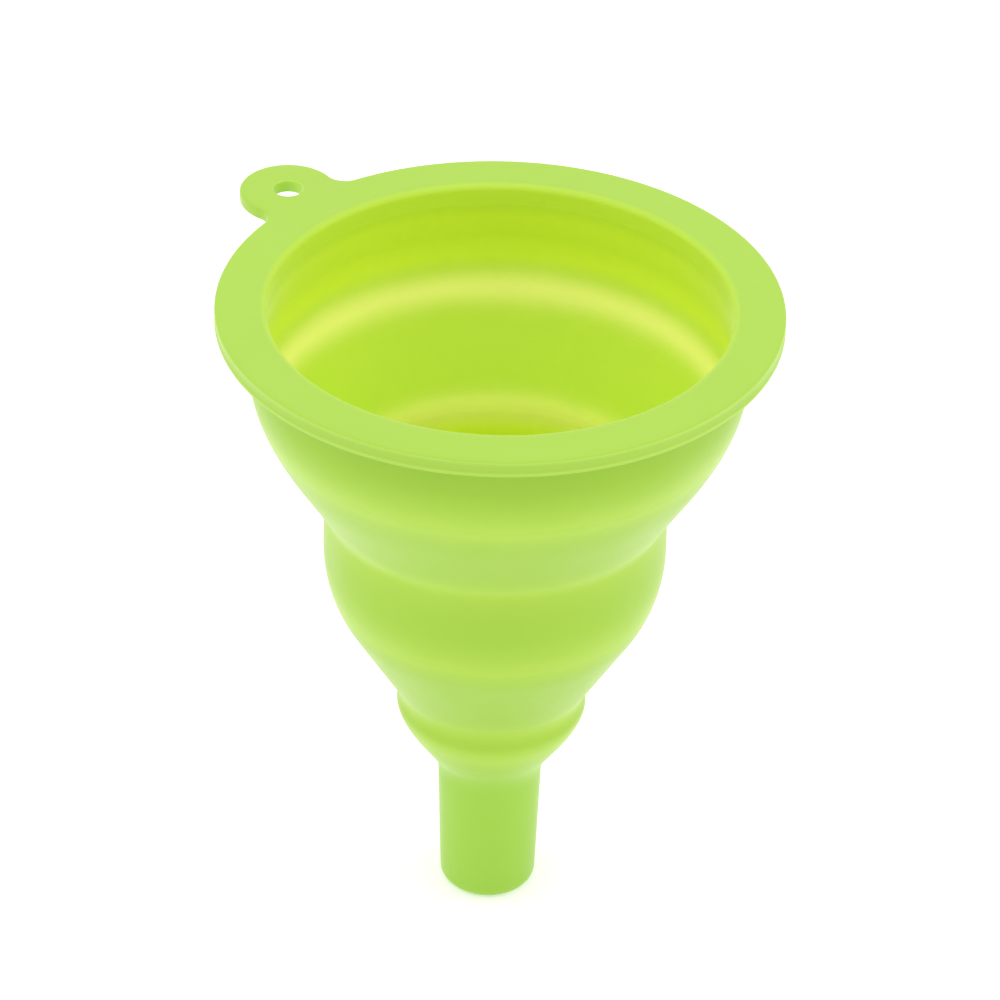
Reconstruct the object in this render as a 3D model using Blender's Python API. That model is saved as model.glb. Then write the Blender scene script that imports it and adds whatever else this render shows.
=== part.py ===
"""Collapsible silicone kitchen funnel with a narrow spout and a hanging tab.

The funnel is one soft moulding. It is modelled as its working zones: stiff bands, the thin sloping folds
between them that turn inside out when the funnel collapses, the flat rim, the tab and the spout.

Metres, +Z up. The origin is on the funnel's axis, in the plane where the sloping shoulder meets the spout,
which is where a bottle's mouth stops it. The tab points to +Y.
"""
from math import acos, atan2, cos, hypot, pi, radians, sin

import bmesh
import bpy

# ---- heights of the zones, from the spout's tip up ------------------------------------------------------
SPOUT_LENGTH = 0.0222            # tip to shoulder
LOWER_FOLD_HEIGHT = 0.0095
LOWER_BAND_HEIGHT = 0.0035
MIDDLE_FOLD_HEIGHT = 0.0192
MIDDLE_BAND_HEIGHT = 0.0138
UPPER_FOLD_HEIGHT = 0.0182
UPPER_BAND_HEIGHT = 0.0118
RIM_THICKNESS = 0.0026

# ---- outer radii: the spout's own, then how far each zone reaches beyond the one below ------------------
SPOUT_ROOT_RADIUS = 0.0077
SPOUT_TAPER = 0.0006             # how much thinner the spout is at its tip
LOWER_FOLD_REACH = 0.0066
LOWER_BAND_LEAN = 0.0009         # how much a band narrows towards its top
MIDDLE_FOLD_REACH = 0.0114
MIDDLE_BAND_LEAN = 0.0001
UPPER_FOLD_REACH = 0.0113
UPPER_BAND_LEAN = 0.0017
RIM_OVERHANG = 0.0057            # flange beyond the upper band

# ---- walls ----------------------------------------------------------------------------------------------
BAND_WALL = 0.0016
FOLD_WALL = 0.0012               # also at the folding lines
SPOUT_WALL = 0.0026

# ---- how softly each band turns into its fold, along the band and along the fold --------------------------
LOWER_EASE = (0.0017, 0.0063)
MIDDLE_EASE = (0.0063, 0.0063)
UPPER_EASE = (0.0057, 0.0112)
EASE_LIMIT = 0.48                # of the straight stretch that it softens
CORNER_STEPS = 4                 # facets in half a corner

# ---- edges ----------------------------------------------------------------------------------------------
RIM_EDGE_ROUND = 0.0004
TIP_ROUND = 0.0020
TIP_ROUND_LIMIT = 0.8            # of the spout's wall
ROUND_STEPS = 3                  # facets in a rounded edge

# ---- hanging tab ----------------------------------------------------------------------------------------
TAB_RADIUS = 0.0070
TAB_HOLE_RADIUS = 0.00215
TAB_REACH = 0.0036               # centre of the tab beyond the rim's edge
TAB_THICKNESS = 0.0020
TAB_FILLET = 0.0028              # between the tab and the rim
TAB_ARC_STEP = radians(12)
TAB_HOLE_STEPS = 20

# ---- clearance and smoothness -----------------------------------------------------------------------------
SEAM_GAP = 0.0003                # between neighbouring zones
TURNS = 48                       # facets round the axis

# ---- values that follow ---------------------------------------------------------------------------------
LOWER_CORNER_RADIUS = SPOUT_ROOT_RADIUS + LOWER_FOLD_REACH
LOWER_CREASE_RADIUS = LOWER_CORNER_RADIUS - LOWER_BAND_LEAN
MIDDLE_CORNER_RADIUS = LOWER_CREASE_RADIUS + MIDDLE_FOLD_REACH
MIDDLE_CREASE_RADIUS = MIDDLE_CORNER_RADIUS - MIDDLE_BAND_LEAN
UPPER_CORNER_RADIUS = MIDDLE_CREASE_RADIUS + UPPER_FOLD_REACH
UPPER_TOP_RADIUS = UPPER_CORNER_RADIUS - UPPER_BAND_LEAN
RIM_RADIUS = UPPER_TOP_RADIUS + RIM_OVERHANG

LOWER_CORNER_Z = LOWER_FOLD_HEIGHT
LOWER_CREASE_Z = LOWER_CORNER_Z + LOWER_BAND_HEIGHT
MIDDLE_CORNER_Z = LOWER_CREASE_Z + MIDDLE_FOLD_HEIGHT
MIDDLE_CREASE_Z = MIDDLE_CORNER_Z + MIDDLE_BAND_HEIGHT
UPPER_CORNER_Z = MIDDLE_CREASE_Z + UPPER_FOLD_HEIGHT
RIM_UNDERSIDE_Z = UPPER_CORNER_Z + UPPER_BAND_HEIGHT
RIM_TOP_Z = RIM_UNDERSIDE_Z + RIM_THICKNESS


# ---- lines in the (radius, height) plane ----------------------------------------------------------------
def toward(start, end, distance):
    """The point that lies this far from start on the way to end."""
    share = distance / hypot(end[0] - start[0], end[1] - start[1])
    return tuple(a + (b - a) * share for a, b in zip(start, end))


def length(start, end):
    return hypot(end[0] - start[0], end[1] - start[1])


def arc(centre, radius, start, end, steps):
    """Points on a circular arc, both ends included."""
    angles = [start + (end - start) * i / steps for i in range(steps + 1)]
    return [(centre[0] + radius * cos(a), centre[1] + radius * sin(a)) for a in angles]


def tier_lines(top, corner, foot, ease):
    """Outer lines of a tier's band and of its fold, from the top down; they share the corner's middle."""
    start = toward(corner, top, min(ease[0], EASE_LIMIT * length(corner, top)))
    end = toward(corner, foot, min(ease[1], 2 * EASE_LIMIT * length(corner, foot)))

    def point(t):
        return tuple((1 - t) ** 2 * a + 2 * t * (1 - t) * c + t * t * b for a, c, b in zip(start, corner, end))

    soft = [point(i / (2 * CORNER_STEPS)) for i in range(2 * CORNER_STEPS + 1)]
    return [top] + soft[:CORNER_STEPS + 1], soft[CORNER_STEPS:] + [foot]


def inward_normals(line):
    """For each point of a line that runs down, the mitred unit step into the wall."""
    sides = []
    for a, b in zip(line, line[1:]):
        size = length(a, b)
        sides.append(((b[1] - a[1]) / size, -(b[0] - a[0]) / size))
    normals = [sides[0]]
    for a, b in zip(sides, sides[1:]):
        mitre = 1 + a[0] * b[0] + a[1] * b[1]
        normals.append(((a[0] + b[0]) / mitre, (a[1] + b[1]) / mitre))
    return normals + [sides[-1]]


def shell_zones():
    """Closed sections of the six turned zones between the rim and the spout, and the spout's top edge.

    The outer line runs from under the rim to the shoulder as one line, so neighbours meet face to face.
    """
    top = (UPPER_TOP_RADIUS, RIM_UNDERSIDE_Z - SEAM_GAP)
    middle_crease = (MIDDLE_CREASE_RADIUS, MIDDLE_CREASE_Z)
    lower_crease = (LOWER_CREASE_RADIUS, LOWER_CREASE_Z)
    shoulder = (SPOUT_ROOT_RADIUS, 0.0)
    lines = {}
    lines["upper_band"], lines["upper_fold"] = tier_lines(
        top, (UPPER_CORNER_RADIUS, UPPER_CORNER_Z), middle_crease, UPPER_EASE)
    lines["middle_band"], lines["middle_fold"] = tier_lines(
        middle_crease, (MIDDLE_CORNER_RADIUS, MIDDLE_CORNER_Z), lower_crease, MIDDLE_EASE)
    lines["lower_band"], lines["lower_fold"] = tier_lines(
        lower_crease, (LOWER_CORNER_RADIUS, LOWER_CORNER_Z), shoulder, LOWER_EASE)

    # wall thickness along each zone: at its top, in its middle and at its bottom
    walls = {
        "upper_band": (BAND_WALL, BAND_WALL, FOLD_WALL),
        "upper_fold": (FOLD_WALL, FOLD_WALL, FOLD_WALL),
        "middle_band": (FOLD_WALL, BAND_WALL, FOLD_WALL),
        "middle_fold": (FOLD_WALL, FOLD_WALL, FOLD_WALL),
        "lower_band": (FOLD_WALL, FOLD_WALL, FOLD_WALL),
        "lower_fold": (FOLD_WALL, FOLD_WALL, SPOUT_WALL),
    }
    outer, thickness, spans = [], [], {}
    for name, line in lines.items():
        travelled = [0.0]
        for a, b in zip(line, line[1:]):
            travelled.append(travelled[-1] + length(a, b))
        first, middle, last = walls[name]
        begin = max(len(outer) - 1, 0)
        for point, distance in list(zip(line, travelled))[1 if outer else 0:]:
            share = distance / travelled[-1]
            ends = (1 - share) * first + share * last
            outer.append(point)
            thickness.append(ends + (middle - (first + last) / 2) * sin(pi * share))
        spans[name] = (begin, len(outer))

    tip = (SPOUT_ROOT_RADIUS - SPOUT_TAPER, -SPOUT_LENGTH)
    normals = inward_normals(outer + [tip])[:-1]
    normals[0] = (-1.0, 0.0)
    inner = [(p[0] + n[0] * w, p[1] + n[1] * w) for p, n, w in zip(outer, normals, thickness)]

    zones = {}
    for name, (begin, end) in spans.items():
        outside, inside = outer[begin:end], inner[begin:end]
        for line in (outside, inside):
            if begin:
                line[0] = toward(line[0], line[1], SEAM_GAP / 2)
            line[-1] = toward(line[-1], line[-2], SEAM_GAP / 2)
        zones[name] = outside + inside[::-1]
    return zones, (outer[-1], inner[-1]), (outer[0], inner[0])


def spout_section(top_edge):
    """Closed section of the spout, from its top edge under the shoulder to its rounded tip."""
    outside, inside = top_edge
    rounding = min(TIP_ROUND, TIP_ROUND_LIMIT * SPOUT_WALL)
    tip_radius = SPOUT_ROOT_RADIUS - SPOUT_TAPER
    tip = arc((tip_radius - rounding, rounding - SPOUT_LENGTH), rounding, 0.0, -pi / 2, ROUND_STEPS)
    bore = (tip_radius - SPOUT_WALL, -SPOUT_LENGTH)
    top_outside = toward(outside, tip[0], SEAM_GAP / 2)
    top_inside = toward(inside, bore, SEAM_GAP / 2)
    return [top_outside] + tip + [bore, top_inside]


def rim_section(inner_radius):
    """Closed section of the flat flange, with lightly rounded edges."""
    low = RIM_UNDERSIDE_Z + RIM_EDGE_ROUND
    high = RIM_TOP_Z - RIM_EDGE_ROUND
    outside = RIM_RADIUS - RIM_EDGE_ROUND
    inside = inner_radius + RIM_EDGE_ROUND
    return (arc((outside, low), RIM_EDGE_ROUND, -pi / 2, 0.0, ROUND_STEPS)
            + arc((outside, high), RIM_EDGE_ROUND, 0.0, pi / 2, ROUND_STEPS)
            + arc((inside, high), RIM_EDGE_ROUND, pi / 2, pi, ROUND_STEPS)
            + [(inner_radius, RIM_UNDERSIDE_Z)])


def tab_outline():
    """Outline of the tab seen from above: a round ear, a fillet each side, and the rim's curve."""
    centre_y = RIM_RADIUS + TAB_REACH
    to_rim = RIM_RADIUS + TAB_FILLET
    to_ear = TAB_RADIUS + TAB_FILLET
    lean = acos((centre_y ** 2 + to_rim ** 2 - to_ear ** 2) / (2 * centre_y * to_rim))
    fillet = (to_rim * sin(lean), to_rim * cos(lean))
    ear_angle = atan2(fillet[1] - centre_y, fillet[0])
    root = RIM_RADIUS + SEAM_GAP
    # the fillet ends where it comes within a seam's gap of the rim
    close = acos((to_rim ** 2 + TAB_FILLET ** 2 - root ** 2) / (2 * to_rim * TAB_FILLET))
    rim_angle = atan2(-fillet[1], -fillet[0]) - close
    right = arc(fillet, TAB_FILLET, rim_angle, ear_angle - pi, arc_steps(rim_angle - ear_angle + pi))
    ear = arc((0.0, centre_y), TAB_RADIUS, ear_angle, pi - ear_angle, arc_steps(pi - 2 * ear_angle))
    left = [(-x, y) for x, y in reversed(right)]
    spread = atan2(right[0][0], right[0][1])
    seat = arc((0.0, 0.0), root, pi / 2 + spread, pi / 2 - spread, 2 * arc_steps(2 * spread))
    return right[:-1] + ear + left[1:-1] + seat[:-1]


def arc_steps(angle):
    return max(2, round(abs(angle) / TAB_ARC_STEP))


# ---- Blender objects ------------------------------------------------------------------------------------
def clear_scene():
    for thing in list(bpy.data.objects):
        bpy.data.objects.remove(thing, do_unlink=True)


def silicone():
    """Soft lime-green silicone with a matt skin."""
    material = bpy.data.materials.new("lime_silicone")
    material.use_nodes = True
    shader = material.node_tree.nodes["Principled BSDF"]
    shader.inputs["Base Color"].default_value = (0.47, 0.73, 0.07, 1.0)
    shader.inputs["Roughness"].default_value = 0.55
    shader.inputs["Metallic"].default_value = 0.0
    return material


def add_body(name, z, parent=None):
    """An empty on the axis that carries the zones which move together."""
    body = bpy.data.objects.new(name, None)
    bpy.context.collection.objects.link(body)
    body.location.z = z - (parent["height"] if parent else 0.0)
    body["height"] = z
    body.parent = parent
    return body


def add_piece(name, bm, body, material):
    bmesh.ops.recalc_face_normals(bm, faces=bm.faces)
    bmesh.ops.translate(bm, verts=bm.verts, vec=(0.0, 0.0, -body["height"]))
    mesh = bpy.data.meshes.new(name)
    bm.to_mesh(mesh)
    bm.free()
    mesh.shade_smooth()
    mesh.set_sharp_from_angle(angle=radians(35))
    mesh.materials.append(material)
    piece = bpy.data.objects.new(name, mesh)
    bpy.context.collection.objects.link(piece)
    piece.parent = body


def turned(section):
    """A closed section, given as (radius, height) points, turned once round the axis."""
    bm = bmesh.new()
    verts = [bm.verts.new((r, 0.0, z)) for r, z in section]
    edges = [bm.edges.new((a, b)) for a, b in zip(verts, verts[1:] + verts[:1])]
    bmesh.ops.spin(bm, geom=verts + edges, cent=(0, 0, 0), axis=(0, 0, 1), angle=2 * pi, steps=TURNS,
                   use_merge=True)
    return bm


def tab_plate():
    """The tab's outline with its hole, filled and given its thickness."""
    bm = bmesh.new()
    hole = arc((0.0, RIM_RADIUS + TAB_REACH), TAB_HOLE_RADIUS, 0.0, 2 * pi, TAB_HOLE_STEPS)[:-1]
    edges = []
    for loop in (tab_outline(), hole):
        verts = [bm.verts.new((x, y, RIM_TOP_Z - TAB_THICKNESS)) for x, y in loop]
        edges += [bm.edges.new((a, b)) for a, b in zip(verts, verts[1:] + verts[:1])]
    bmesh.ops.triangle_fill(bm, use_beauty=True, edges=edges)
    lifted = bmesh.ops.extrude_face_region(bm, geom=bm.faces[:])["geom"]
    raised = [part for part in lifted if isinstance(part, bmesh.types.BMVert)]
    bmesh.ops.translate(bm, verts=raised, vec=(0.0, 0.0, TAB_THICKNESS))
    return bm


def main():
    clear_scene()
    lime = silicone()
    spout = add_body("spout_body", 0.0)
    lower = add_body("lower_ring", LOWER_CORNER_Z, spout)
    middle = add_body("middle_ring", MIDDLE_CORNER_Z, lower)
    mouth = add_body("mouth", UPPER_CORNER_Z, middle)

    zones, spout_edge, band_edge = shell_zones()
    carriers = {"upper": mouth, "middle": middle, "lower": lower}
    for name, section in zones.items():
        add_piece(name, turned(section), carriers[name.split("_")[0]], lime)
    add_piece("spout_tube", turned(spout_section(spout_edge)), spout, lime)
    add_piece("rim_ring", turned(rim_section(band_edge[1][0])), mouth, lime)
    add_piece("hang_tab", tab_plate(), mouth, lime)


main()
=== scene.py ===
"""Looks of the folding silicone funnel: its moulded walls, its soft skin and a plain white studio round it.

Metres, in the same frame as the CAD model: +Z runs up the funnel's axis from the spout to the mouth, the
origin is where the shoulder meets the spout, and the hanging tab points to +Y.
"""
from math import acos, atan2, cos, exp, hypot, pi, radians, sin

import bpy
from mathutils import Matrix, Vector


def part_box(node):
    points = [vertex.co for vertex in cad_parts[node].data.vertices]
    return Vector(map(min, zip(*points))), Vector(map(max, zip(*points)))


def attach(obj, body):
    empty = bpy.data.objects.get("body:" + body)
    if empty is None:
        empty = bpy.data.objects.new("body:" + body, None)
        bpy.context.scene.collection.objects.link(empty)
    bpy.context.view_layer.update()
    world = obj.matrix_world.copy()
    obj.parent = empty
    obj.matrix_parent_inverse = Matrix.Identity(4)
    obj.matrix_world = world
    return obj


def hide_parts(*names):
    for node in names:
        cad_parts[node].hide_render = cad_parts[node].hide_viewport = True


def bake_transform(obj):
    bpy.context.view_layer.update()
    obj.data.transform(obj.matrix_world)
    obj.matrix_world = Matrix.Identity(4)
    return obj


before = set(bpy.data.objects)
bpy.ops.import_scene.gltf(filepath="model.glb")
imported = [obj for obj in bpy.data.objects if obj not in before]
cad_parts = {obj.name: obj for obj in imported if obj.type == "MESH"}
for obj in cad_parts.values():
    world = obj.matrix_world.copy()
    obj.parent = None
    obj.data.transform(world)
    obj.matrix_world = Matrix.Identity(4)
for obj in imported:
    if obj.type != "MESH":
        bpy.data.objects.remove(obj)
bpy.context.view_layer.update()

# ---- the wall's outer line: (radius, height) of every place where it changes direction -----------
RIM_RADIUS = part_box("rim_ring")[1].x
RIM_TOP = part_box("rim_ring")[1].z
RIM_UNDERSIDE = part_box("rim_ring")[0].z
UNDER_RIM_RADIUS = 0.0343
UPPER_CORNER = (0.0360, 0.0642)
MIDDLE_CREASE = (0.0247, 0.0460)
MIDDLE_CORNER = (0.0248, 0.0322)
LOWER_CREASE = (0.0134, 0.0130)
LOWER_CORNER = (0.0143, 0.0095)
SHOULDER = (0.0077, 0.0)
TIP = (0.0071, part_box("spout_tube")[0].z)

# ---- how far each change of direction is softened, before it and after it ------------------------
UPPER_CORNER_EASE = (0.0057, 0.0112)
MIDDLE_CORNER_EASE = (0.0063, 0.0063)
LOWER_CORNER_EASE = (0.0017, 0.0060)
MIDDLE_CREASE_EASE = (0.0010, 0.0010)
LOWER_CREASE_EASE = (0.0018, 0.0014)
SHOULDER_EASE = (0.0022, 0.0022)

# ---- walls and their edges -----------------------------------------------------------------------
BAND_WALL = 0.0016
FOLD_WALL = 0.0012               # also at the folding lines
SPOUT_WALL = 0.0026
UNDER_RIM_FILLET = 0.0007        # where the flange grows out of the wall
RIM_BEAD = 0.00045               # radius of the two fine beads round the flange's edge
RIM_BEAD_TURN = radians(38)      # how far each bead's round face runs past level
RIM_EDGE_DIP = 0.00014           # how far the edge sinks between them
RIM_EDGE_SLOPE = 0.0002          # height of the slope from each bead into that dip
MOUTH_ROUND = 0.0010             # inner edge of the flange
TIP_ROUND = 0.0019
BORE_ROUND = 0.0003

# ---- hanging tab ---------------------------------------------------------------------------------
TAB_RADIUS = 0.0070
TAB_HOLE_RADIUS = 0.00215
TAB_HOLE_FLARE = 0.0003
TAB_REACH = 0.0036               # centre of the tab beyond the rim's edge
TAB_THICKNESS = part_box("hang_tab")[1].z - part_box("hang_tab")[0].z
TAB_FILLET = 0.0028              # between the tab and the rim
TAB_SEAT = 0.0022                # how deep the tab's root lies inside the flange
TAB_EDGE = RIM_BEAD              # rounding of its edges
TAB_ROOT_DIP = 0.0007            # how far the outline sinks into the flange past each fillet
TAB_ROOT_TURN = radians(6)       # over this turn round the axis
TAB_SINK = 0.00002               # its top lies this far under the flange's
CUTTER_MARGIN = 0.001            # how far the hole's cutter stands out of the tab

# ---- fineness ------------------------------------------------------------------------------------
TURNS = 160                      # flats round the axis
STRETCH = 0.0007                 # about the length of a flat on a straight stretch
BEND_STEPS = 12                  # flats in half a softened bend
SEAM_FLAT = 0.004                # share of a bend that the flat next to a seam takes
FILLET_STEPS = 6                 # flats in the fillet under the flange
BEAD_STEPS = 9                   # in each bead
MOUTH_STEPS = 10                 # in the flange's inner edge
TIP_STEPS = 12                   # in the spout's rounded tip
SMALL_ROUND_STEPS = 5            # in the edges of the bore and of the tab's hole
TAB_TURNS = 72                   # in the tab's ear, and round its hole
TAB_FILLET_STEPS = 14
TAB_ROOT_STEPS = 8
TAB_SEAT_STEPS = 16
TAB_EDGE_STEPS = 6
SAME_POINT = 1e-7                # points closer than this are merged
SAME_HEIGHT = 1e-6               # and heights this close count as one
LEVEL_FACE = 0.01                # how far a level face's normal may lean
WALL_CREASE = radians(40)        # edges sharper than this stay sharp on the turned pieces
TAB_CREASE = radians(30)         # and on the tab

# ---- painted highlights on the folding lines and beads, and painted light in the bands -----------
HIGHLIGHT_REACH = 0.0030              # how far the painted highlight on a folding line reaches along the wall
INNER_HIGHLIGHT_REACH = 0.0023        # and on the inside
INNER_CORNER_DROP = 0.0022       # how far below a corner's middle its painted highlight ring lies inside
INNER_CREASE_DROP = 0.0006       # and below a crease's
PAINTED_BAND_LIGHT = {"upper_band": 0.52, "middle_band": 1.0, "lower_band": 1.0}     # how far each band takes its painted light
BEAD_HIGHLIGHT = 0.8                  # strength of the painted highlight on each bead
BEAD_HIGHLIGHT_TURN = radians(15)     # where it lies above level
BEAD_HIGHLIGHT_WIDTH = radians(18)


# ---- lines in the (radius, height) plane ---------------------------------------------------------
def length(a, b):
    """Distance between two points."""
    return hypot(b[0] - a[0], b[1] - a[1])


def toward(a, b, distance):
    """The point this far from a on the way to b."""
    share = distance / length(a, b)
    return (a[0] + (b[0] - a[0]) * share, a[1] + (b[1] - a[1]) * share)


def arc(centre, radius, start, end, steps):
    """Points on a circular arc, both ends included."""
    angles = [start + (end - start) * i / steps for i in range(steps + 1)]
    return [(centre[0] + radius * cos(a), centre[1] + radius * sin(a)) for a in angles]


def straight(a, b):
    """Points from a to b, close enough together to bend smoothly, without the last one."""
    count = max(1, round(length(a, b) / STRETCH))
    return [a] + [toward(a, b, length(a, b) * i / count) for i in range(1, count)]


def softened(before, corner, after, ease):
    """The curve that rounds a corner, as its two halves, which share the middle point."""
    start, end = toward(corner, before, ease[0]), toward(corner, after, ease[1])

    def point(t):
        early, middle, late = (1 - t) ** 2, 2 * t * (1 - t), t * t
        return tuple(early * a + middle * c + late * b for a, c, b in zip(start, corner, end))

    rising = [0.5 * i / BEND_STEPS for i in range(BEND_STEPS)] + [0.5 - SEAM_FLAT, 0.5]
    falling = [1 - t for t in reversed(rising)]
    return [point(t) for t in rising], [point(t) for t in falling]


def wall_zones():
    """Outer line of each zone, from the flange's underside to the tip; neighbours share an end point."""
    bends = [
        ("upper_band", UPPER_CORNER, UPPER_CORNER_EASE),
        ("upper_fold", MIDDLE_CREASE, MIDDLE_CREASE_EASE),
        ("middle_band", MIDDLE_CORNER, MIDDLE_CORNER_EASE),
        ("middle_fold", LOWER_CREASE, LOWER_CREASE_EASE),
        ("lower_band", LOWER_CORNER, LOWER_CORNER_EASE),
        ("lower_fold", SHOULDER, SHOULDER_EASE),
    ]
    fillet = (UNDER_RIM_RADIUS + UNDER_RIM_FILLET, RIM_UNDERSIDE - UNDER_RIM_FILLET)
    top = arc(fillet, UNDER_RIM_FILLET, pi / 2, pi, FILLET_STEPS)
    path = [top[-1]] + [corner for name, corner, ease in bends] + [TIP]
    zones, done = {}, top
    for (name, corner, ease), before, after in zip(bends, path, path[2:]):
        first, second = softened(before, corner, after, ease)
        zones[name] = done[:-1] + straight(done[-1], first[0]) + first
        done = second
    zones["spout_tube"] = done
    return zones


def eased(share):
    """From 0 to 1, level at both ends."""
    return share * share * (3 - 2 * share)


def arched(share):
    """From 0 up to 1 and back to 0, level at the ends and along the middle half."""
    return eased(min(1.0, 4 * share, 4 * (1 - share)))


def glow(name, share, inside):
    """How far a zone takes its band colour: painted light inside, and outside the band's green instead of
    the webs' painted shade; the lowest fold's outside turns to the spout's green by it.
    """
    if name == "lower_fold":
        return 0.0 if inside else eased(share)
    return PAINTED_BAND_LIGHT.get(name, 0.0) * arched(share)


def wall_at(name, share):
    """Wall thickness of a zone at a share of its length from the top."""
    if name == "upper_band":
        return BAND_WALL + (FOLD_WALL - BAND_WALL) * eased(share)
    if name == "middle_band":
        return FOLD_WALL + (BAND_WALL - FOLD_WALL) * arched(share)
    if name == "lower_fold":
        return FOLD_WALL + (SPOUT_WALL - FOLD_WALL) * eased(share)
    return SPOUT_WALL if name == "spout_tube" else FOLD_WALL


def travelled(line):
    """Distance along a line at each of its points."""
    run = [0.0]
    for a, b in zip(line, line[1:]):
        run.append(run[-1] + length(a, b))
    return run


def heading(line, i):
    """Direction of a line at one of its points, where a short flat counts for more than a long one."""
    flats = [(line[j], line[j + 1]) for j in (i - 1, i) if 0 <= j < len(line) - 1]
    x, z = [sum((b[k] - a[k]) / length(a, b) ** 2 for a, b in flats) for k in (0, 1)]
    size = hypot(x, z)
    return (x / size, z / size)


def paired_lines():
    """For each zone, its outer line and the inner line that faces it, both from the top down."""
    outer, walls, spans = [], [], {}
    for name, line in wall_zones().items():
        run = travelled(line)
        begin = max(len(outer) - 1, 0)
        fresh = 1 if outer else 0
        outer += line[fresh:]
        walls += [wall_at(name, r / run[-1]) for r in run[fresh:]]
        spans[name] = (begin, len(outer))
    inner = []
    for i, (point, wall) in enumerate(zip(outer, walls)):
        along = heading(outer, i)
        inner.append((point[0] + along[1] * wall, point[1] - along[0] * wall))
    # beside the fillet the inner line runs straight up instead
    bore = UNDER_RIM_RADIUS - BAND_WALL
    fillet_foot = RIM_UNDERSIDE - UNDER_RIM_FILLET - SAME_HEIGHT
    inner = [(bore, point[1]) if point[1] > fillet_foot else inside
             for point, inside in zip(outer, inner)]
    return {name: (outer[a:b], inner[a:b]) for name, (a, b) in spans.items()}


# ---- modelling -----------------------------------------------------------------------------------
def deselect():
    bpy.ops.object.select_all(action="DESELECT")


def edit(piece):
    """Opens one piece, alone, for modelling, with all of it selected."""
    deselect()
    bpy.context.view_layer.objects.active = piece
    piece.select_set(True)
    bpy.ops.object.mode_set(mode="EDIT")
    bpy.ops.mesh.select_all(action="SELECT")


def drawn_line(name, points):
    """A closed line of edges: a plane shrunk to a point, drawn out from point to point, its ends joined."""
    deselect()
    bpy.ops.mesh.primitive_plane_add(size=0.001, location=points[0])
    piece = bpy.context.object
    piece.name = piece.data.name = name
    bpy.ops.object.transform_apply(location=True, rotation=True, scale=True)
    edit(piece)
    bpy.ops.mesh.merge(type="CENTER")
    for a, b in zip(points, points[1:]):
        step = [q - p for p, q in zip(a, b)]
        bpy.ops.mesh.extrude_region_move(TRANSFORM_OT_translate={"value": step})
    bpy.ops.object.mode_set(mode="OBJECT")
    piece.data.vertices[0].select = True
    bpy.ops.object.mode_set(mode="EDIT")
    bpy.ops.mesh.edge_face_add()
    bpy.ops.object.mode_set(mode="OBJECT")
    return piece


def paint(piece, layer, values):
    """Writes one value for each point of the drawn line, which spinning then carries round the piece."""
    attribute = piece.data.attributes.new(layer, "FLOAT", "POINT")
    attribute.data.foreach_set("value", values)


def spin_closed(piece, turns):
    """Spins the drawn section once round the axis into a closed solid."""
    edit(piece)
    bpy.ops.mesh.spin(steps=turns, angle=2 * pi, center=(0, 0, 0), axis=(0, 0, 1))
    bpy.ops.mesh.select_all(action="SELECT")
    bpy.ops.mesh.remove_doubles(threshold=SAME_POINT)
    bpy.ops.mesh.normals_make_consistent(inside=False)
    bpy.ops.object.mode_set(mode="OBJECT")


def turned_piece(name, section):
    """A turned piece from a closed section of (radius, height, inner skin, painted highlight, painted band
    light) points.
    """
    piece = drawn_line("silicone_" + name, [(point[0], 0.0, point[1]) for point in section])
    for place, layer in enumerate(("inner_skin", "painted_highlight", "painted_band_light"), start=2):
        paint(piece, layer, [point[place] for point in section])
    spin_closed(piece, TURNS)
    bpy.ops.object.shade_smooth_by_angle(angle=WALL_CREASE)
    return piece


# ---- the walls -----------------------------------------------------------------------------------
def skinned(name, line, inside):
    """A zone's line with what its colour needs at each point: inner skin, painted highlight and painted
    band light.
    """
    run = travelled(line)
    reach = INNER_HIGHLIGHT_REACH if inside else HIGHLIGHT_REACH
    corner = INNER_CORNER_DROP if inside else 0.0
    crease = INNER_CREASE_DROP if inside else 0.0
    # a band has a crease above it and a corner below, and a fold has them the other way round
    ends = {"band": (crease, run[-1] + corner), "fold": (corner, run[-1] + crease)}
    lines = ends.get(name.split("_")[1], ())
    if name == "upper_band":
        lines = lines[1:]
    if name == "lower_fold":
        lines = lines[:1]
    # painted highlight: a pale line painted along each crease and corner, standing in for the light caught
    # where the wall bends
    marks = [max([exp(-((r - at) / reach) ** 2) for at in lines] + [0.0]) for r in run]
    glows = [glow(name, r / run[-1], inside) for r in run]
    return [(r, z, 1.0 if inside else 0.0, m, g) for (r, z), m, g in zip(line, marks, glows)]


def spout_end():
    """The spout's rounded tip, from its outer face round to its bore."""
    bottom = TIP[1]
    bore = TIP[0] - SPOUT_WALL
    outside = arc((TIP[0] - TIP_ROUND, bottom + TIP_ROUND), TIP_ROUND, 0.0, -pi / 2, TIP_STEPS)
    inside = arc((bore + BORE_ROUND, bottom + BORE_ROUND), BORE_ROUND, -pi / 2, -pi, SMALL_ROUND_STEPS)
    return outside, inside


def wall_pieces():
    """The seven turned zones of the wall, from the upper band down to the spout."""
    pieces = {}
    for name, (outer, inner) in paired_lines().items():
        if name == "spout_tube":
            outside, inside = spout_end()
            outer = outer[:-1] + straight(outer[-2], outside[0])[1:] + outside
            inner = inner[:-1] + straight(inner[-2], inside[-1])[1:] + inside[::-1]
        section = skinned(name, outer, False) + skinned(name, inner, True)[::-1]
        pieces[name] = turned_piece(name, section)
    return pieces


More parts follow.
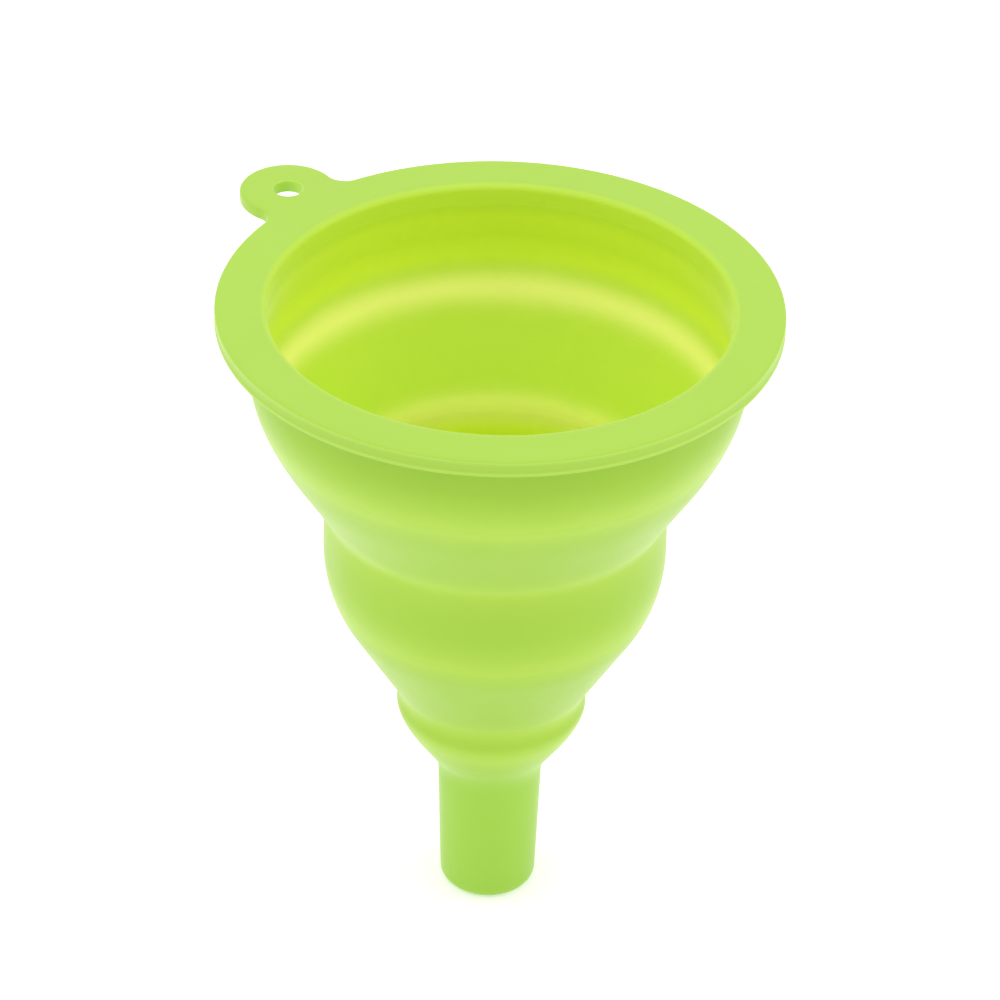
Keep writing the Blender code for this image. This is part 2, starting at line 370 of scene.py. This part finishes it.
# ---- the flange ----------------------------------------------------------------------------------
def rim_piece():
    """The flat flange: two fine beads round its edge, a rounded mouth, and its root on the upper band."""
    side = RIM_RADIUS - RIM_BEAD
    low, high = RIM_UNDERSIDE + RIM_BEAD, RIM_TOP - RIM_BEAD
    bead_low = arc((side, low), RIM_BEAD, -pi / 2, RIM_BEAD_TURN, BEAD_STEPS)
    bead_high = arc((side, high), RIM_BEAD, -RIM_BEAD_TURN, pi / 2, BEAD_STEPS)
    dip_low, dip_high = bead_low[-1][1] + RIM_EDGE_SLOPE, bead_high[0][1] - RIM_EDGE_SLOPE
    dip = RIM_RADIUS - RIM_EDGE_DIP
    edge = bead_low + [(dip, dip_low), (dip, (dip_low + dip_high) / 2), (dip, dip_high)] + bead_high
    bore = UNDER_RIM_RADIUS - BAND_WALL
    mouth = arc((bore + MOUTH_ROUND, RIM_TOP - MOUTH_ROUND), MOUTH_ROUND, pi / 2, pi, MOUTH_STEPS)
    top = straight(bead_high[-1], mouth[0])[1:]
    throat = straight(mouth[-1], (bore, RIM_UNDERSIDE))[1:] + [(bore, RIM_UNDERSIDE)]
    root = (UNDER_RIM_RADIUS + UNDER_RIM_FILLET, RIM_UNDERSIDE)
    underside = straight(root, bead_low[0])

    section = [(r, z, 0.0, bead_highlight(r, z, side, (low, high)), 0.0) for r, z in edge + top]
    section += [(r, z, i / (len(mouth) - 1), 0.0, 0.0) for i, (r, z) in enumerate(mouth)]
    section += [(r, z, 1.0, 0.0, 0.0) for r, z in throat]
    section += [(r, z, 0.0, 0.0, 0.0) for r, z in underside]
    return turned_piece("rim_ring", section)


def bead_highlight(r, z, side, heights):
    """A painted highlight: a pale line painted on each bead where it stands out most and catches the light.
    """
    nearest = min(heights, key=lambda height: abs(z - height))
    angle = atan2(z - nearest, r - side)
    return BEAD_HIGHLIGHT * exp(-((angle - BEAD_HIGHLIGHT_TURN) / BEAD_HIGHLIGHT_WIDTH) ** 2) if r > side else 0.0


# ---- the hanging tab -----------------------------------------------------------------------------
def tab_outline():
    """The tab from above: a round ear, a fillet each side, and a root that sinks into the flange."""
    centre_y = RIM_RADIUS + TAB_REACH
    to_rim = RIM_RADIUS + TAB_FILLET
    to_ear = TAB_RADIUS + TAB_FILLET
    lean = acos((centre_y ** 2 + to_rim ** 2 - to_ear ** 2) / (2 * centre_y * to_rim))
    fillet = (to_rim * sin(lean), to_rim * cos(lean))
    ear_angle = atan2(fillet[1] - centre_y, fillet[0])
    rim_angle = atan2(-fillet[1], -fillet[0])
    sunk = []
    for i in range(TAB_ROOT_STEPS):
        share = 1 - i / TAB_ROOT_STEPS
        angle = pi / 2 - lean - TAB_ROOT_TURN * share
        radius = RIM_RADIUS - TAB_ROOT_DIP * share ** 2
        sunk.append((radius * cos(angle), radius * sin(angle)))
    right = sunk + arc(fillet, TAB_FILLET, rim_angle, ear_angle - pi, TAB_FILLET_STEPS)
    ear = arc((0.0, centre_y), TAB_RADIUS, ear_angle, pi - ear_angle, TAB_TURNS)
    left = [(-x, y) for x, y in reversed(right)]
    turn = lean + TAB_ROOT_TURN
    seat = arc((0.0, 0.0), RIM_RADIUS - TAB_SEAT, pi / 2 + turn, pi / 2 - turn, TAB_SEAT_STEPS)
    return right + ear[1:-1] + left + seat


def tab_piece():
    """The tab: its outline filled, raised, its edges rounded off, and its hole cut with a flared cutter."""
    top = RIM_TOP - TAB_SINK
    foot = top - TAB_THICKNESS
    piece = drawn_line("silicone_hang_tab", [(x, y, foot + TAB_EDGE) for x, y in tab_outline()])
    edit(piece)
    bpy.ops.mesh.edge_face_add()
    rise = TAB_THICKNESS - 2 * TAB_EDGE
    bpy.ops.mesh.extrude_region_move(TRANSFORM_OT_translate={"value": (0.0, 0.0, rise)})
    bpy.ops.mesh.select_all(action="SELECT")
    bpy.ops.mesh.normals_make_consistent(inside=False)
    round_faces(piece, up=True)
    round_faces(piece, up=False)
    bpy.ops.object.mode_set(mode="OBJECT")
    cutter = hole_cutter(top, foot)
    cut = piece.modifiers.new("hole", "BOOLEAN")
    cut.operation = "DIFFERENCE"
    cut.solver = "EXACT"
    cut.object = cutter
    deselect()
    bpy.context.view_layer.objects.active = piece
    piece.select_set(True)
    bpy.ops.object.modifier_apply(modifier="hole")
    bpy.data.objects.remove(cutter)
    # painted light: the hole's wall takes the pale highlight colour, standing in for the light that comes
    # through the thin silicone
    around = [hypot(v.co.x, v.co.y - RIM_RADIUS - TAB_REACH) for v in piece.data.vertices]
    hole_wall = TAB_HOLE_RADIUS + TAB_HOLE_FLARE / 2
    paint(piece, "painted_highlight", [1.0 if r < hole_wall else 0.0 for r in around])
    bpy.ops.object.shade_smooth_by_angle(angle=TAB_CREASE)
    return piece


def round_faces(piece, up):
    """Rounds the edge of the piece's flat top or underside with a row of ever flatter insets."""
    bpy.ops.mesh.select_mode(type="FACE")
    bpy.ops.mesh.select_all(action="DESELECT")
    bpy.ops.object.mode_set(mode="OBJECT")
    for face in piece.data.polygons:
        face.select = abs(face.normal.z - (1 if up else -1)) < LEVEL_FACE
    bpy.ops.object.mode_set(mode="EDIT")
    for i in range(TAB_EDGE_STEPS):
        a, b = pi / 2 * i / TAB_EDGE_STEPS, pi / 2 * (i + 1) / TAB_EDGE_STEPS
        narrower = TAB_EDGE * (cos(a) - cos(b))
        higher = TAB_EDGE * (sin(b) - sin(a))
        bpy.ops.mesh.inset(thickness=narrower, depth=higher, use_even_offset=True)
    bpy.ops.mesh.select_mode(type="VERT")


def hole_cutter(top, foot):
    """A turned cutter, narrow in the middle and flared at both faces of the tab: the hole is rounded."""
    flare = TAB_HOLE_FLARE
    wide = TAB_HOLE_RADIUS + flare
    above, below = top + CUTTER_MARGIN, foot - CUTTER_MARGIN
    high = arc((wide, top - flare), flare, pi / 2, pi, SMALL_ROUND_STEPS)
    low = arc((wide, foot + flare), flare, pi, 3 * pi / 2, SMALL_ROUND_STEPS)
    line = [(0.0, above), (wide, above)] + high + low + [(wide, below), (0.0, below)]
    cutter = drawn_line("hole_cutter", [(r, 0.0, z) for r, z in line])
    spin_closed(cutter, TAB_TURNS)
    edit(cutter)
    bpy.ops.transform.translate(value=(0.0, RIM_RADIUS + TAB_REACH, 0.0))
    bpy.ops.object.mode_set(mode="OBJECT")
    return cutter


# ---- finishes ------------------------------------------------------------------------------------
PATCH_SCALE = 70.0               # patches in the folding lines, per metre
CLOUD_SCALE = 28.0               # clouds in the colour
GRAIN_SCALE = 2600.0
WAVE_SCALE = 110.0
RING_SCALE = 900.0
WEAR_SCALE = 160.0
GLOSS_SWING = 0.2                # how far the roughness swings, from lowest to highest


def group_with(name, inputs, outputs):
    """An empty node group with named sockets, and its input and output nodes."""
    tree = bpy.data.node_groups.new(name, "ShaderNodeTree")
    for label, kind, value in inputs:
        socket = tree.interface.new_socket(label, in_out="INPUT", socket_type=kind)
        socket.default_value = value
    for label, kind in outputs:
        tree.interface.new_socket(label, in_out="OUTPUT", socket_type=kind)
    return tree, tree.nodes.new("NodeGroupInput"), tree.nodes.new("NodeGroupOutput")


def maths(tree, operation, a, b):
    """A maths node on two values, each a socket or a number."""
    node = tree.nodes.new("ShaderNodeMath")
    node.operation = operation
    for socket, value in zip(node.inputs, (a, b)):
        if isinstance(value, (int, float)):
            socket.default_value = value
        else:
            tree.links.new(value, socket)
    return node.outputs[0]


def layer(tree, name):
    """The value that a piece carries at each of its points under this name."""
    node = tree.nodes.new("ShaderNodeAttribute")
    node.attribute_name = name
    return node.outputs["Fac"]


def noise(tree, vector, scale, detail=3.0, roughness=0.55):
    """A soft random value at each place; a larger scale makes a finer pattern."""
    node = tree.nodes.new("ShaderNodeTexNoise")
    node.inputs["Scale"].default_value = scale
    node.inputs["Detail"].default_value = detail
    node.inputs["Roughness"].default_value = roughness
    tree.links.new(vector, node.inputs["Vector"])
    return node.outputs["Fac"]


def blended(tree, share, a, b):
    """A colour mixed from a to b; each is a socket or a colour."""
    node = tree.nodes.new("ShaderNodeMix")
    node.data_type = "RGBA"
    tree.links.new(share, node.inputs["Factor"])
    for socket, value in ((node.inputs[6], a), (node.inputs[7], b)):
        if isinstance(value, tuple):
            socket.default_value = value
        else:
            tree.links.new(value, socket)
    return node.outputs[2]


def silicone_tint_group():
    """Colour of thin silicone, with painted light: the lining is painted brighter and warmer for the light
    that comes through the wall, and a painted highlight lies along the folds.
    """
    tree, given, out = group_with(
        "silicone_tint",
        [("Outside", "NodeSocketColor", (0.4, 0.7, 0.1, 1)),
         ("Outside Band", "NodeSocketColor", (0.4, 0.7, 0.1, 1)),
         ("Outer Highlight", "NodeSocketColor", (0.5, 0.8, 0.1, 1)),
         ("Inside", "NodeSocketColor", (0.6, 0.8, 0.1, 1)),
         ("Inside Band", "NodeSocketColor", (0.7, 0.9, 0.1, 1)),
         ("Inner Highlight", "NodeSocketColor", (0.8, 0.9, 0.2, 1)),
         ("Cloud", "NodeSocketFloat", 0.05)],
        [("Color", "NodeSocketColor")])
    skin, fold, band = [layer(tree, name) for name in ("inner_skin", "painted_highlight", "painted_band_light")]
    place = tree.nodes.new("ShaderNodeTexCoord")
    patches = noise(tree, place.outputs["Object"], PATCH_SCALE)
    # the painted highlight along folds, beads and the tab's hole, broken into random patches
    folding = maths(tree, "POWER", fold, maths(tree, "ADD", patches, 0.5))
    # outside, the downward-facing webs carry painted shade, a darker green, and the bands don't
    face = blended(tree, band, given.outputs["Outside"], given.outputs["Outside Band"])
    outside = blended(tree, folding, face, given.outputs["Outer Highlight"])
    # inside, the lining and, brighter still, its bands are painted light, standing in for the light that
    # comes through the wall
    lining = blended(tree, band, given.outputs["Inside"], given.outputs["Inside Band"])
    inside = blended(tree, folding, lining, given.outputs["Inner Highlight"])
    colour = blended(tree, skin, outside, inside)
    clouds = noise(tree, place.outputs["Object"], CLOUD_SCALE, detail=4.0)
    swing = maths(tree, "MULTIPLY", maths(tree, "SUBTRACT", clouds, 0.5), given.outputs["Cloud"])
    shade = tree.nodes.new("ShaderNodeHueSaturation")
    tree.links.new(maths(tree, "ADD", swing, 1.0), shade.inputs["Value"])
    tree.links.new(colour, shade.inputs["Color"])
    tree.links.new(shade.outputs["Color"], out.inputs["Color"])
    return tree


def mould_grain_group():
    """The skin that the mould leaves: a fine blasted grain, faint turning rings, and soft unevenness."""
    tree, given, out = group_with(
        "mould_grain",
        [(label, "NodeSocketFloat", 1.0) for label in ("Grain", "Rings", "Waves")],
        [("Height", "NodeSocketFloat"), ("Wear", "NodeSocketFloat")])
    place = tree.nodes.new("ShaderNodeTexCoord")
    grain = noise(tree, place.outputs["Object"], GRAIN_SCALE, detail=2.0)
    waves = noise(tree, place.outputs["Object"], WAVE_SCALE, detail=2.0)
    split = tree.nodes.new("ShaderNodeSeparateXYZ")
    tree.links.new(place.outputs["Object"], split.inputs[0])
    squares = [maths(tree, "MULTIPLY", side, side) for side in split.outputs[:2]]
    radius = maths(tree, "SQRT", maths(tree, "ADD", *squares), 0.0)
    across = tree.nodes.new("ShaderNodeCombineXYZ")
    tree.links.new(radius, across.inputs[0])
    tree.links.new(split.outputs[2], across.inputs[2])
    rings = noise(tree, across.outputs[0], RING_SCALE, detail=3.0)
    height = maths(tree, "MULTIPLY", grain, given.outputs["Grain"])
    height = maths(tree, "ADD", height, maths(tree, "MULTIPLY", rings, given.outputs["Rings"]))
    height = maths(tree, "ADD", height, maths(tree, "MULTIPLY", waves, given.outputs["Waves"]))
    tree.links.new(height, out.inputs["Height"])
    wear = noise(tree, place.outputs["Object"], WEAR_SCALE, detail=5.0)
    tree.links.new(wear, out.inputs["Wear"])
    return tree


# the lining's colours are the same in every finish and all are painted light: the lining is painted
# brighter and warmer for the light through the wall, its bands brightest, its folding lines palest with a
# painted highlight
PAINTED_LIGHT_LINING = {
    "Inside": (0.555, 0.765, 0.044),
    "Inside Band": (0.830, 0.970, 0.050),
    "Inner Highlight": (0.900, 0.930, 0.230),
}


def silicone_material(name, outside, outside_band, outer_fold, roughness):
    """A finish with its own outer colours and the shared lining, grain and sheen."""
    material = bpy.data.materials.new(name)
    material.use_nodes = True
    tree = material.node_tree
    shader = tree.nodes["Principled BSDF"]
    tint = tree.nodes.new("ShaderNodeGroup")
    tint.node_tree = bpy.data.node_groups["silicone_tint"]
    skin_colours = {"Outside": outside, "Outside Band": outside_band, "Outer Highlight": outer_fold}
    for label, colour in {**skin_colours, **PAINTED_LIGHT_LINING}.items():
        tint.inputs[label].default_value = colour + (1.0,)
    tint.inputs["Cloud"].default_value = 0.10
    tree.links.new(tint.outputs["Color"], shader.inputs["Base Color"])
    skin = tree.nodes.new("ShaderNodeGroup")
    skin.node_tree = bpy.data.node_groups["mould_grain"]
    skin.inputs["Grain"].default_value = 0.35
    skin.inputs["Rings"].default_value = 0.35
    skin.inputs["Waves"].default_value = 1.2
    bump = tree.nodes.new("ShaderNodeBump")
    bump.inputs["Strength"].default_value = 0.35
    bump.inputs["Distance"].default_value = 0.0001
    tree.links.new(skin.outputs["Height"], bump.inputs["Height"])
    tree.links.new(bump.outputs["Normal"], shader.inputs["Normal"])
    gloss = maths(tree, "MULTIPLY_ADD", skin.outputs["Wear"], GLOSS_SWING)
    gloss.node.inputs[2].default_value = roughness - GLOSS_SWING / 2
    tree.links.new(gloss, shader.inputs["Roughness"])
    shader.inputs["IOR"].default_value = 1.42
    shader.inputs["Sheen Weight"].default_value = 0.42
    shader.inputs["Sheen Roughness"].default_value = 0.35
    shader.inputs["Sheen Tint"].default_value = (0.93, 1.0, 0.72, 1.0)
    return material


# ---- the pieces, the stiff ones each on its body, the folds on none ------------------------------
silicone_tint_group()
mould_grain_group()
# painted highlight colour for the folding lines
FOLD_HIGHLIGHT_GREEN = (0.382, 0.600, 0.044)
# painted highlight colour for the beads, also used on the tab's hole wall
BEAD_HIGHLIGHT_GREEN = (0.440, 0.680, 0.090)
BAND_GREEN = (0.336, 0.558, 0.033)
# painted shade: the webs' outside green is darker because they face down
SHADED_WEB_GREEN = (0.312, 0.525, 0.030)
RIM_GREEN = (0.347, 0.562, 0.051)
SPOUT_GREEN = (0.320, 0.570, 0.047)
WALL_SILICONE = silicone_material("wall_silicone", SHADED_WEB_GREEN, BAND_GREEN, FOLD_HIGHLIGHT_GREEN, 0.48)
RIM_SILICONE = silicone_material("rim_silicone", RIM_GREEN, RIM_GREEN, BEAD_HIGHLIGHT_GREEN, 0.52)
NECK_SILICONE = silicone_material("neck_silicone", SHADED_WEB_GREEN, SPOUT_GREEN, FOLD_HIGHLIGHT_GREEN, 0.48)
SPOUT_SILICONE = silicone_material("spout_silicone", SPOUT_GREEN, SPOUT_GREEN, FOLD_HIGHLIGHT_GREEN, 0.48)
FINISHES = {
    "rim_ring": RIM_SILICONE,
    "hang_tab": RIM_SILICONE,
    "lower_fold": NECK_SILICONE,
    "spout_tube": SPOUT_SILICONE,
}

BODIES = {
    "rim_ring": "mouth",
    "hang_tab": "mouth",
    "upper_band": "mouth",
    "middle_band": "middle_ring",
    "lower_band": "lower_ring",
    "spout_tube": "spout_body",
}

pieces = wall_pieces()
pieces["rim_ring"] = rim_piece()
pieces["hang_tab"] = tab_piece()
lines = paired_lines()
for node, piece in pieces.items():
    piece.data.materials.clear()
    piece.data.materials.append(FINISHES.get(node, WALL_SILICONE))
    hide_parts(node)
    if node in BODIES:
        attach(piece, BODIES[node])
    else:
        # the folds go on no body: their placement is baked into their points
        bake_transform(piece)

# ---- studio --------------------------------------------------------------------------------------
deselect()
bpy.ops.mesh.primitive_plane_add(size=6.0, location=(0, 0, TIP[1]))
floor = bpy.context.object
floor.name = "studio_floor"
floor_finish = bpy.data.materials.new("white_light_table")
floor_finish.use_nodes = True
floor_shader = floor_finish.node_tree.nodes["Principled BSDF"]
floor_shader.inputs["Base Color"].default_value = (0.82, 0.82, 0.82, 1)
floor_shader.inputs["Roughness"].default_value = 0.9
floor_shader.inputs["Emission Color"].default_value = (1, 1, 1, 1)
floor_shader.inputs["Emission Strength"].default_value = 0.36
floor.data.materials.append(floor_finish)

world = bpy.data.worlds.new("soft_white_tent")
bpy.context.scene.world = world
world.use_nodes = True
world.node_tree.nodes["Background"].inputs["Color"].default_value = (1, 1, 1, 1)
world.node_tree.nodes["Background"].inputs["Strength"].default_value = 0.95
bpy.context.scene.view_settings.view_transform = "Standard"


def softbox(name, place, target, size, power):
    """A round, soft studio lamp that faces its target."""
    lamp = bpy.data.lights.new(name, "AREA")
    lamp.shape = "DISK"
    lamp.size = size
    lamp.energy = power
    holder = bpy.data.objects.new(name, lamp)
    bpy.context.scene.collection.objects.link(holder)
    holder.location = place
    holder.rotation_mode = "QUATERNION"
    holder.rotation_quaternion = (Vector(target) - Vector(place)).to_track_quat("-Z", "Y")


softbox("overhead_softbox", (0.0, 0.0, 0.9), (0.0, 0.0, 0.0), size=0.7, power=2.2)
softbox("left_softbox", (-0.49, 0.50, 0.45), (0.0, 0.0, 0.02), size=0.5, power=0.8)
softbox("right_softbox", (0.49, -0.50, 0.45), (0.0, 0.0, 0.02), size=0.5, power=0.8)

# ---- camera --------------------------------------------------------------------------------------
AZIMUTH = radians(-45.6)
ELEVATION = radians(34.75)
DISTANCE = 18 * RIM_RADIUS
ROLL = radians(1.35)
aim = Vector((0, 0, RIM_TOP - 1.1 * RIM_RADIUS))
back = Vector((sin(AZIMUTH) * cos(ELEVATION), -cos(AZIMUTH) * cos(ELEVATION), sin(ELEVATION)))
camera = bpy.data.objects.new("camera", bpy.data.cameras.new("camera"))
bpy.context.scene.collection.objects.link(camera)
camera.data.lens = 179.0
camera.data.shift_x = 0.0056
camera.data.shift_y = 0.0626
camera.location = aim + back * DISTANCE
look = (-back).to_track_quat("-Z", "Y")
camera.rotation_mode = "QUATERNION"
camera.rotation_quaternion = look @ Matrix.Rotation(ROLL, 4, "Z").to_quaternion()
bpy.context.scene.camera = camera
